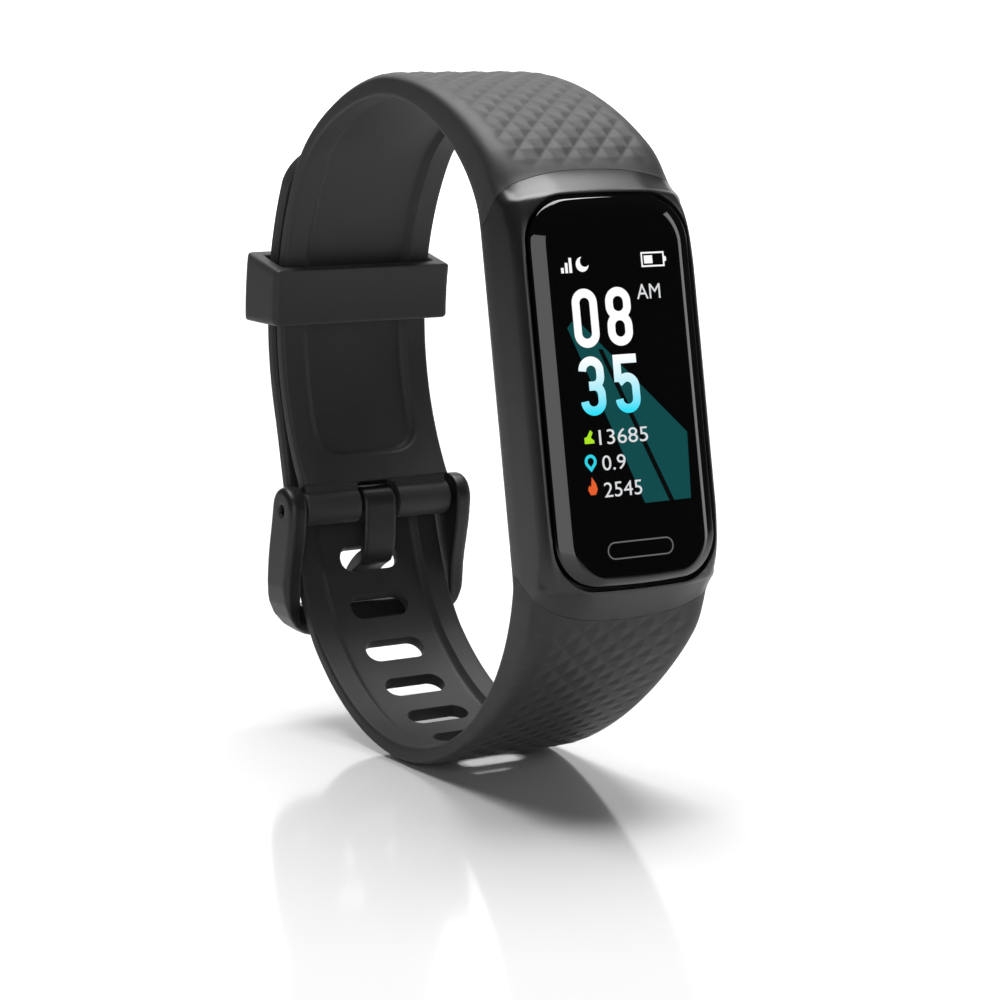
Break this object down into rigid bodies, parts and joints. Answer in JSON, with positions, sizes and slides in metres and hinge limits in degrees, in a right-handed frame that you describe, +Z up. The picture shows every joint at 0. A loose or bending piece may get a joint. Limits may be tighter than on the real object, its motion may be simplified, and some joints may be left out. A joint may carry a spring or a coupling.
{
  "type": "fitness tracker band",
  "caption": "Wrist activity tracker: slim pod with a curved glass display, faceted silicone straps, pin buckle and sliding keeper, shown buckled into a loop.",
  "frame": {"origin": "middle of the buckled loop's footprint, on the plane it stands on", "axes": "+X across the strap; -Y the way the display faces; +Z up, towards the top of the display"},
  "size_m": [0.0224, 0.0628, 0.0701],
  "materials": {
    "silicone_charcoal": "moulded silicone, matt, raised facets on the outside",
    "case_dark": "satin polycarbonate",
    "cover_glass": "polished, black printed border",
    "buckle_dark": "satin acetal",
    "stainless_bright": "turned",
    "gold_plate": "gold plated",
    "sensor_lens": "polished, dark tinted",
    "panel_black": "display stack",
    "board_green": "solder mask",
    "foil_silver": "foil pouch and pressed can",
    "seal_foam": "closed foam and cast seal",
    "inner_plastic": "glass filled moulding",
    "flex_amber": "polyimide ribbon",
    "emitter_clear": "clear epoxy"
  },
  "bodies": {
    "band": {"housing": "case_dark", "front_glass": "cover_glass", "glass_gasket": "seal_foam", "display_panel": "panel_black", "touch_key_pad": "flex_amber", "display_bracket": "inner_plastic", "main_board": "board_green", "shield_can": "foil_silver", "antenna": "gold_plate", "battery": "foil_silver", "vibration_motor": "stainless_bright", "display_flex": "flex_amber", "rear_cover": "case_dark", "sensor_window": "sensor_lens", "charge_pad_left": "gold_plate", "charge_pad_right": "gold_plate", "sensor_board": "board_green", "sensor_led_upper": "emitter_clear", "sensor_led_lower": "emitter_clear", "photodiode": "sensor_lens", "rear_seal": "seal_foam", "upper_strap_link": "inner_plastic", "lower_strap_link": "inner_plastic", "upper_strap": "silicone_charcoal", "lower_strap": "silicone_charcoal", "spring_bar_barrel": "stainless_bright", "spring_bar_pin_left": "stainless_bright", "spring_bar_pin_right": "stainless_bright", "spring_bar_spring": "stainless_bright"},
    "keeper_loop": {"keeper": "silicone_charcoal"},
    "buckle": {"buckle_frame": "buckle_dark"},
    "tongue": {"buckle_tongue": "buckle_dark"}
  },
  "joints": [
    {"name": "keeper_slide", "type": "hinge", "parent": "band", "child": "keeper_loop", "pos_m": [0, -0.00476, 0.0427], "axis": [1, 0, 0], "range_deg": [-14, 22]},
    {"name": "buckle_swing", "type": "hinge", "parent": "band", "child": "buckle", "pos_m": [0, 0.02174, 0.0234], "axis": [1, 0, 0], "range_deg": [0, 75]},
    {"name": "tongue_swing", "type": "hinge", "parent": "band", "child": "tongue", "pos_m": [0, 0.02174, 0.0234], "axis": [1, 0, 0], "range_deg": [-2, 6]}
  ]
}
